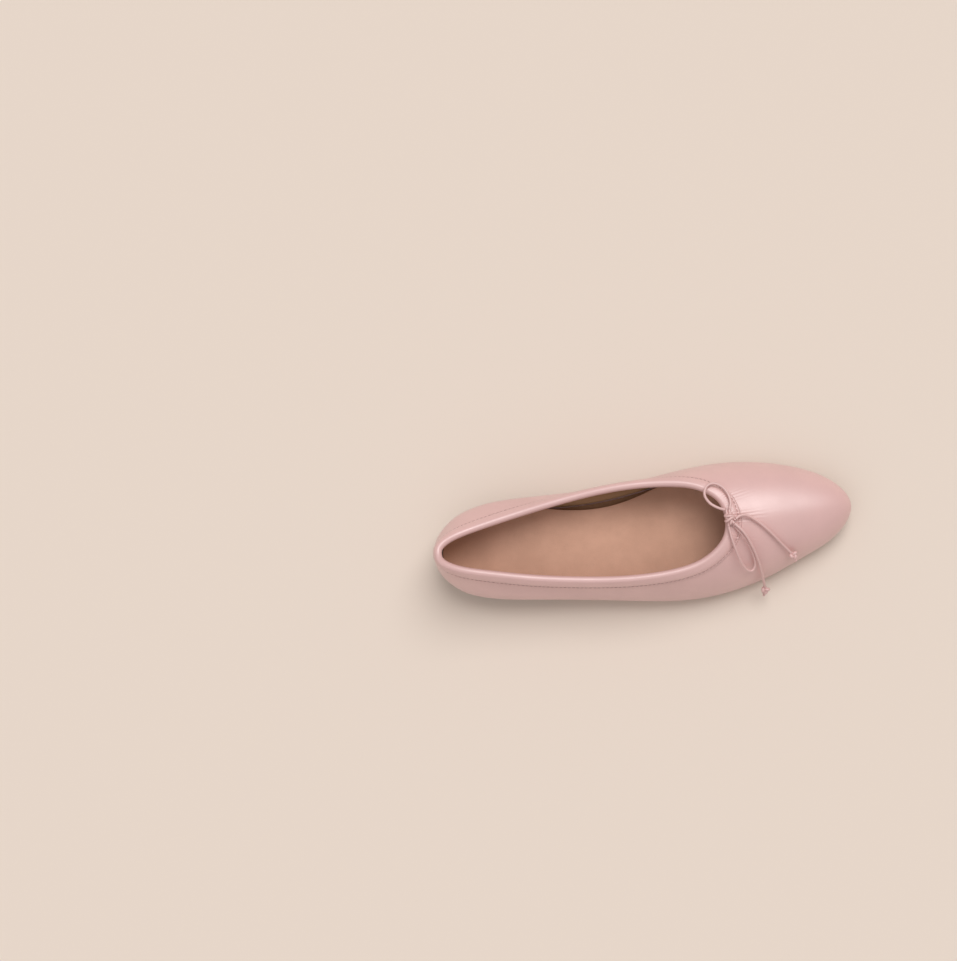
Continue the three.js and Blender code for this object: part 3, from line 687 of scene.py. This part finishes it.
class SlipperLooks(bpy.types.PropertyGroup):
    """The sizes and colours that a user would change."""

    leather: FloatVectorProperty(name="Leather", description="Colour of the upper", subtype="COLOR",
                                 size=3, min=0, max=1, default=(0.73, 0.452, 0.428))
    sock: FloatVectorProperty(name="Sock", description="Colour of the sock", subtype="COLOR",
                              size=3, min=0, max=1, default=(0.64, 0.36, 0.25))
    lining: FloatVectorProperty(name="Lining", description="Colour of the lining", subtype="COLOR",
                                size=3, min=0, max=1, default=(0.5, 0.27, 0.14))
    floor: FloatVectorProperty(name="Floor", description="Colour of the floor", subtype="COLOR",
                               size=3, min=0, max=1, default=(0.77, 0.66, 0.575))
    stitch_pitch: FloatProperty(name="Stitch pitch", description="Distance from one stitch to the next",
                                unit="LENGTH", default=2.5 * MM, min=1 * MM, max=6 * MM)
    pleat_depth: FloatProperty(name="Pleat depth", description="Depth of the gathers at the throat",
                               unit="LENGTH", default=0.42 * MM, min=0, max=1 * MM)
    pleats: IntProperty(name="Pleats", description="Gathers round the topline", default=150, min=0, max=400)
    camera_distance: FloatProperty(name="Camera distance", description="From the camera to the slipper",
                                   unit="LENGTH", default=1.151, min=0.3, max=5)
    camera_height: FloatProperty(name="Camera height angle", description="Angle of the view above the floor",
                                 subtype="ANGLE", default=math.radians(87.5), min=0, max=math.pi / 2)
    camera_roll: FloatProperty(name="Camera roll",
                               description="How far the slipper's axis rises to the right",
                               subtype="ANGLE", default=math.radians(7.2), min=-math.pi, max=math.pi)
    camera_lean: FloatProperty(name="Camera lean", description="How far the view comes from the toe's side",
                               subtype="ANGLE", default=math.radians(1.5), min=-1, max=1)


def gathers(t, distance, looks):
    """How far the leather stands out where the drawstring gathers it, at a distance below the binding."""
    near = 0.22 + 0.78 * window(t, 0.5, 0.13)
    uneven = 0.6 + 0.4 * np.sin(2 * np.pi * 23 * t + 1.1) * np.sin(2 * np.pi * 9 * t + 0.4)
    wave = np.sin(2 * np.pi * looks.pleats * t + 2.2 * np.sin(2 * np.pi * 17 * t))
    return looks.pleat_depth / MM * near * uneven * wave * np.exp(-np.maximum(distance, 0) / 4.5)


class SLIPPER_OT_upper(bpy.types.Operator):
    """Makes the upper, one skin of soft leather gathered a little at the topline"""

    bl_idname = "slipper.upper"
    bl_label = "Upper"

    def execute(self, context):
        looks = context.scene.slipper_looks

        def place(across, up):
            edge = np.linalg.norm(wall(across, 1 + 0 * up) - wall(across, up), axis=-1)
            return under(across, up, -gathers(across, edge - OUTER_LEG, looks) * (up > 0.3))

        bm = thicken(bent_grid(400, 52, place, weld=True), UPPER)
        keep("upper_leather", bm, MATERIALS["pink_leather"], ROOT, ("upper",))
        return {"FINISHED"}


def binding_section():
    """The closed section of the binding, as points of height above the edge and depth under the wall."""
    outer, inner = ROLL_IN - ROLL_OUTER, ROLL_IN + ROLL_OUTER
    hollow = ROLL_OUTER - BINDING
    angles = np.linspace(0, np.pi, 15)
    leg = [(-OUTER_LEG - 0.35, outer + 1.02), (-OUTER_LEG, outer + 0.68), (-OUTER_LEG + 0.4, outer + 0.22),
           (-OUTER_LEG + 0.8, outer + 0.1), (-STITCH_BELOW_EDGE, outer + 0.5),
           (-STITCH_BELOW_EDGE + 0.5, outer + 0.1), (-2.9, outer - 0.25), (-1.6, outer - 0.42),
           (-0.3, outer - 0.3)]
    roll = [(ROLL_UP + ROLL_OUTER * math.sin(a), ROLL_IN - ROLL_OUTER * math.cos(a)) for a in angles]
    inside = [(-INNER_LEG + 0.3, inner), (-INNER_LEG, inner - 0.25), (-INNER_LEG, inner - BINDING)]
    back = [(ROLL_UP + hollow * math.sin(a), ROLL_IN - hollow * math.cos(a)) for a in angles[::-2]]
    return np.array(leg + roll + inside + back + [(-OUTER_LEG, outer + BINDING)])


class SLIPPER_OT_binding(bpy.types.Operator):
    """Makes the leather binding that is rolled over the topline"""

    bl_idname = "slipper.binding"
    bl_label = "Topline binding"

    def execute(self, context):
        looks = context.scene.slipper_looks
        section = binding_section()
        count = len(section)

        def place(across, up):
            index = np.round(up * count).astype(int) % count
            height, depth = section[index, 0], section[index, 1]
            outside = (index < 24) & (height < ROLL_UP + 1)
            return under(across, below_edge(across, -height),
                         depth - gathers(across, np.abs(height + STITCH_BELOW_EDGE), looks) * outside)

        bm = bent_grid(520, count, place, weld=True)
        bmesh.ops.recalc_face_normals(bm, faces=bm.faces[:])
        keep("binding_leather", bm, MATERIALS["pink_leather"], ROOT, ("topline_binding",))
        return {"FINISHED"}


class SLIPPER_OT_stitches(bpy.types.Operator):
    """Sews the line of stitches below the binding's roll"""

    bl_idname = "slipper.stitches"
    bl_label = "Stitches"

    def execute(self, context):
        looks = context.scene.slipper_looks
        depth = ROLL_IN - ROLL_OUTER + 0.26

        def line(t):
            return to_row(under(t, below_edge(t, STITCH_BELOW_EDGE), depth + 0 * t))

        fine = np.linspace(0, 1, 4001)
        steps = np.linalg.norm(np.diff(line(fine), axis=0), axis=1)
        travelled = np.concatenate([[0], np.cumsum(steps)])
        count = int(travelled[-1] / looks.stitch_pitch)
        places = np.interp((np.arange(count) + 0.5) / count * travelled[-1], travelled, fine)
        spots, ahead = line(places), line(places + 1e-4)
        outs = wall_normal(places, below_edge(places, STITCH_BELOW_EDGE))
        bm = bmesh.new()
        for spot, direction, out in zip(spots, ahead - spots, outs):
            along = Vector(direction).normalized()
            up = Vector(out)
            side = up.cross(along).normalized()
            turn = Matrix((along, side, up)).transposed().to_4x4()
            size = Matrix.Diagonal((looks.stitch_pitch * 0.32, 0.34 * MM, 0.3 * MM, 1))
            bmesh.ops.create_uvsphere(bm, u_segments=8, v_segments=6, radius=1,
                                      matrix=Matrix.Translation(spot) @ turn @ size)
        keep("stitching", bm, MATERIALS["pink_thread"], ROOT, ("topline_thread",))
        return {"FINISHED"}


class SLIPPER_OT_linings(bpy.types.Operator):
    """Makes the heel grip, the two quarter linings and the vamp lining"""

    bl_idname = "slipper.linings"
    bl_label = "Linings"

    def execute(self, context):
        pieces = [
            ("heel_grip_lining", -GRIP_REACH, GRIP_REACH, 60, "heel_grip"),
            ("quarter_lining_outer", GRIP_REACH + SEAM, 0.5 - VAMP_REACH, 90, "lining_leather"),
            ("vamp_lining", 0.5 - VAMP_REACH + SEAM, 0.5 + VAMP_REACH - SEAM, 110, "lining_leather"),
            ("quarter_lining_inner", 0.5 + VAMP_REACH, 1 - GRIP_REACH - SEAM, 90, "lining_leather"),
        ]

        def row_at(t, up):
            return lerp(lining_bottom(t), 1, up)

        for node, start, end, columns, finish in pieces:
            bm = patch_of_wall(start, end, columns, 30, row_at, lining_depth, LINING)
            keep(node + "_leather", bm, MATERIALS[finish], ROOT, (node,))
        return {"FINISHED"}


class SLIPPER_OT_footbed(bpy.types.Operator):
    """Makes the foam pad and the leather sock that covers it"""

    bl_idname = "slipper.footbed"
    bl_label = "Sock and pad"

    def execute(self, context):
        ends = (SOCK_END, 0.5 - SOCK_END)
        foam = slab(*ends, 120, 16, lined_edge(FOAM_LEVEL, GAP), over_tread(FOAM_LEVEL),
                    over_tread(FOAM_LEVEL + FOAM), 0.5)
        pad = keep("cushion_foam", foam, MATERIALS["foam"], ROOT, ("cushion_pad",))
        sock = slab(*ends, 200, 24, lined_edge(SOCK_LEVEL, 0.0, SOCK_CLEARANCE),
                    over_tread(SOCK_LEVEL), over_tread(SOCK_LEVEL + SOCK), 0.2)
        # The sock's upright sides get the dark material, which paints the shade in the gap beside the lining.
        keep("sock_leather", sock, MATERIALS["tan_sock"], ROOT, ("sock",), MATERIALS["sock_edge_painted_shade"])
        return {"FINISHED"}


class SLIPPER_OT_bottom(bpy.types.Operator):
    """Makes the outsole, the stacked heel and its top piece"""

    bl_idname = "slipper.bottom"
    bl_label = "Sole and heel"

    def execute(self, context):
        full = (SOLE_END, 0.5 - SOLE_END)
        heel = (SOLE_END, place_at(HEEL_BREAST))
        sole = slab(*full, 200, 16, sole_edge, over_tread(0), over_tread(OUTSOLE + SOLE_CLOSE), 0.6)
        keep("outsole_leather", sole, MATERIALS["sole_leather"], ROOT, ("outsole",))
        seam = TOP_PIECE + GAP / 2

        def middle(x):
            return (seam + tread(x)) / 2

        lifts = [
            ("heel_lift_lower", lambda x: seam + 0 * x, middle, 0.35, "stacked_heel", ("heel_block",)),
            ("heel_lift_upper", middle, over_tread(-0.1), 0.35, "stacked_heel", ("heel_block",)),
            ("top_piece_rubber", lambda x: BRAD_PROUD + 0 * x, lambda x: seam + 0 * x, 0.45,
             "top_piece_rubber", ("heel_top_piece",)),
        ]
        for name, low, high, bevel, finish, nodes in lifts:
            bm = slab(*heel, 60, 12, sole_edge, low, high, bevel)
            keep(name, bm, MATERIALS[finish], ROOT, nodes)
        return {"FINISHED"}


class SLIPPER_OT_bow(bpy.types.Operator):
    """Ties the bow: its knot, two loops, two tails and the knot at the end of each tail"""

    bl_idname = "slipper.bow"
    bl_label = "Bow"

    def execute(self, context):
        material = MATERIALS["pink_lace"]
        self.tie_bow(material)
        ends = {"bow_tail_outer": "tail_knot_outer", "bow_tail_front": "tail_knot_front"}
        for name, points in BOW_CORDS.items():
            body = name.replace("bow_", "")
            run = to_row(smooth_run(points, 10))
            if name in ends:
                run = self.into_knot(run, ends[name])
            else:
                self.add_root(name + "_root_2", run[::-1], material)
            self.add_root(name + "_root_1", run, material)
            piece = lace(name + "_lace", run, CORD, material, body)
            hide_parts(name)
            knots = self.tie_end(ends[name], run, material, body) if name in ends else []
        return {"FINISHED"}

    def into_knot(self, run, node):
        """Carries a tail on into the knot at its end."""
        along = np.array(box_middle(node)) - run[-1]
        return np.vstack([run, run[-1] + along / np.linalg.norm(along) * TAIL_TUCK * MM])

    def add_root(self, name, run, material):
        """The stretch of lace between the middle of the bow and where a loop or tail leaves it."""
        back = (run[0] - run[1]) / np.linalg.norm(run[0] - run[1])
        inwards = np.array(box_middle("bow_knot")) - run[0]
        spots = [run[0] + back * GAP * MM, run[0] + back * 0.8 * MM,
                 run[0] + inwards * 0.45, run[0] + inwards * 0.75]
        lace(name, spots, CORD - LACE_EASE, material, ROOT)

    def tie_bow(self, material):
        """The knot in the middle: a tight core, and two turns of the lace over it."""
        middle = np.array(box_middle("bow_knot"))
        turns = np.linspace(0, 2 * np.pi, 121)[:-1]
        core = np.stack([0.85 * (np.sin(turns) + 2 * np.sin(2 * turns)) * 0.7,
                         1.15 * (np.cos(turns) - 2 * np.cos(2 * turns)), -0.9 * np.sin(3 * turns)], -1)
        knot = lace("bow_knot_lace", middle + core * MM, CORD + 0.3, material, ROOT, closed=True)
        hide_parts("bow_knot")
        for name, slide, tilt in (("bow_knot_turn_a", -0.95, 0.35), ("bow_knot_turn_b", 0.85, -0.2)):
            ring = np.stack([2.35 * np.cos(turns),
                             slide + tilt * 2.2 * np.cos(turns) + 0.25 * np.sin(2 * turns),
                             1.75 * np.sin(turns) + 0.3], -1)
            lace(name, middle + ring * MM, CORD + 0.1, material, ROOT, closed=True)

    def tie_end(self, node, run, material, body):
        """An overhand knot, and the short cut end beyond it."""
        middle = box_middle(node)
        along = (middle - Vector(run[-1])).normalized()
        side = along.cross(Vector((0, 0, 1))).normalized()
        axes = np.array([along, side, along.cross(side)])
        turns = np.linspace(0, 2 * np.pi, 73)[:-1] + 0.5
        loops = np.stack([0.6 * (np.sin(turns) + 2 * np.sin(2 * turns)),
                          0.68 * (np.cos(turns) - 2 * np.cos(2 * turns)),
                          -0.85 * np.sin(3 * turns)], -1) * MM
        knot = lace(node + "_lace", np.array(middle) + loops @ axes, CORD + 0.35, material, body, closed=True)
        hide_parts(node)
        cut_end = np.array([[1.2, 0.2, 0], [2.2, 0.5, 0.1], [3.2, 1.0, 0.1], [4.0, 1.6, 0.1]]) * MM
        end = lace(node + "_cut_end", np.array(middle) + cut_end @ axes, CORD - 0.1, material, body)
        return [knot, end]


class SLIPPER_OT_frame_finishes(bpy.types.Operator):
    """Gives the solids that stay, such as the shank, nails and stiffeners, their finishes"""

    bl_idname = "slipper.frame_finishes"
    bl_label = "Finishes of the frame"

    def execute(self, context):
        slots = {part["node"]: part["material_slot"] for part in frame["record"]["subparts"]}
        for name, node in frame["nodes"].items():
            for place in node.material_slots:
                place.material = MATERIALS[slots[name]]
        return {"FINISHED"}


class SLIPPER_OT_stage(bpy.types.Operator):
    """Sets the floor, the soft studio lights and the camera"""

    bl_idname = "slipper.stage"
    bl_label = "Stage"

    def execute(self, context):
        looks = context.scene.slipper_looks
        self.set_floor(looks)
        self.set_lights(context)
        self.set_camera(context, looks)
        context.scene.view_settings.view_transform = "Standard"
        return {"FINISHED"}

    def set_floor(self, looks):
        bm = bmesh.new()
        bmesh.ops.create_grid(bm, x_segments=1, y_segments=1, size=FLOOR_SIZE)
        mesh = bpy.data.meshes.new("floor")
        bm.to_mesh(mesh)
        bm.free()
        floor = bpy.data.objects.new("floor", mesh)
        bpy.context.scene.collection.objects.link(floor)
        material = bpy.data.materials.new("floor_paint")
        material.use_nodes = True
        shader = material.node_tree.nodes["Principled BSDF"]
        shader.inputs["Base Color"].default_value = (*looks.floor, 1)
        shader.inputs["Roughness"].default_value = 0.9
        mesh.materials.append(material)

    def set_lights(self, context):
        self.soft_sun(context, "key_light", *KEY_LIGHT)
        self.soft_sun(context, "fill_light", *FILL_LIGHT)
        world = bpy.data.worlds.new("studio")
        world.use_nodes = True
        nodes = Nodes(world.node_tree)
        light = world.node_tree.nodes["Background"]
        light.inputs["Color"].default_value = (1.0, 0.97, 0.95, 1)
        light.inputs["Strength"].default_value = SKY_LIGHT
        wall_paint = nodes.add("ShaderNodeBackground", in_Color=(0.86, 0.76, 0.68, 1))
        path = nodes.add("ShaderNodeLightPath")
        seen = nodes.add("ShaderNodeMixShader", {0: path.outputs["Is Camera Ray"], 1: light.outputs[0],
                                                 2: wall_paint.outputs[0]})
        world.node_tree.links.new(seen.outputs[0], world.node_tree.nodes["World Output"].inputs["Surface"])
        context.scene.world = world

    def soft_sun(self, context, name, towards, strength, width):
        light = bpy.data.lights.new(name, "SUN")
        light.energy = strength
        light.angle = math.radians(width)
        lamp = bpy.data.objects.new(name, light)
        lamp.location = towards
        lamp.rotation_euler = (-Vector(towards)).to_track_quat("-Z", "Y").to_euler()
        context.scene.collection.objects.link(lamp)

    def set_camera(self, context, looks):
        """Looks down on the slipper, whose middle lies right of and below the view's axis."""
        height, lean, roll = looks.camera_height, looks.camera_lean, looks.camera_roll
        away = Vector((math.sin(lean), -math.cos(height), math.sin(height))).normalized()
        level = Vector((0, 1, 0)).cross(away).normalized()
        upright = away.cross(level)
        right = level * math.cos(roll) - upright * math.sin(roll)
        up = level * math.sin(roll) + upright * math.cos(roll)
        low, high = (Vector(corner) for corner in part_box("upper"))
        facing = Matrix((right, up, away)).transposed()
        aside = Vector((0, 0, -1)).rotation_difference(Vector((*PLACE_IN_VIEW, -1))).to_matrix()
        camera = bpy.data.objects.new("camera", bpy.data.cameras.new("camera"))
        camera.data.lens = LENS
        camera.data.sensor_width = SENSOR
        camera.data.clip_end = 20
        place = Matrix.Translation((low + high) / 2 + away * looks.camera_distance)
        camera.matrix_world = place @ (facing @ aside.transposed()).to_4x4()
        context.scene.collection.objects.link(camera)
        context.scene.camera = camera


OPERATORS = (SLIPPER_OT_stage, SLIPPER_OT_bow, SLIPPER_OT_upper, SLIPPER_OT_binding, SLIPPER_OT_stitches,
             SLIPPER_OT_linings, SLIPPER_OT_footbed, SLIPPER_OT_bottom, SLIPPER_OT_frame_finishes)


class SLIPPER_PT_panel(bpy.types.Panel):
    """Lists the slipper's sizes, colours and pieces"""

    bl_idname = "SLIPPER_PT_panel"
    bl_label = "Slipper"
    bl_space_type = "VIEW_3D"
    bl_region_type = "UI"
    bl_category = "Slipper"

    def draw(self, context):
        looks = context.scene.slipper_looks
        for name in looks.bl_rna.properties.keys():
            if name not in ("rna_type", "name"):
                self.layout.prop(looks, name)
        for operator in OPERATORS:
            self.layout.operator(operator.bl_idname)


CLASSES = (SlipperLooks, *OPERATORS, SLIPPER_PT_panel)


def register():
    for item in CLASSES:
        bpy.utils.register_class(item)
    bpy.types.Scene.slipper_looks = PointerProperty(type=SlipperLooks)


def unregister():
    del bpy.types.Scene.slipper_looks
    for item in reversed(CLASSES):
        bpy.utils.unregister_class(item)


def main():
    register()
    make_materials(bpy.context.scene.slipper_looks)
    for operator in OPERATORS:
        group, call = operator.bl_idname.split(".")
        getattr(getattr(bpy.ops, group), call)()


if __name__ == "__main__":
    main()
